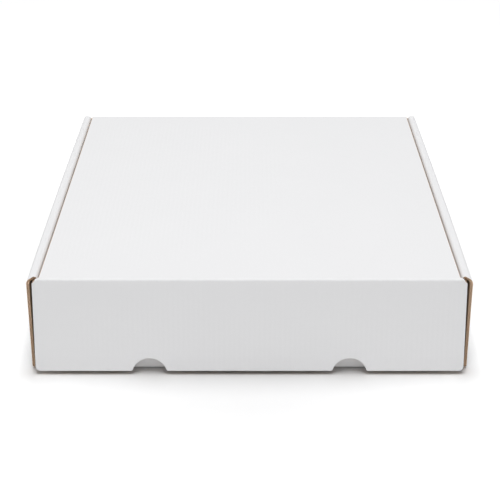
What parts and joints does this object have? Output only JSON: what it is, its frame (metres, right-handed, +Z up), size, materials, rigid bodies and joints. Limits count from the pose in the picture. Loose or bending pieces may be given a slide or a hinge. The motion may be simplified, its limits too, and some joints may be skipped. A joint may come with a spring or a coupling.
{
  "type": "corrugated mailer box",
  "caption": "Folded white mailer box of corrugated board: hinged lid, outside front flap with thumb notches, roll-over side walls locked by tabs in slots, and dust flaps.",
  "frame": {"origin": "centre of the tray's underside, where the box rests", "axes": "+Z up through the lid, -Y towards the front flap, +X to the right seen from the front"},
  "size_m": [0.2648, 0.3063, 0.06],
  "materials": {
    "white_board": "matte"
  },
  "bodies": {
    "tray": {"tray": "white_board"},
    "lid": {"lid": "white_board"},
    "front_flap": {"front_flap": "white_board"}
  },
  "joints": [
    {"name": "lid_hinge", "type": "hinge", "parent": "tray", "child": "lid", "pos_m": [0, 0.14754, 0.05944], "axis": [-1, 0, 0], "range_deg": [0, 180]},
    {"name": "flap_hinge", "type": "hinge", "parent": "lid", "child": "front_flap", "pos_m": [0, -0.14934, 0.05954], "axis": [-1, 0, 0], "range_deg": [0, 120]}
  ]
}
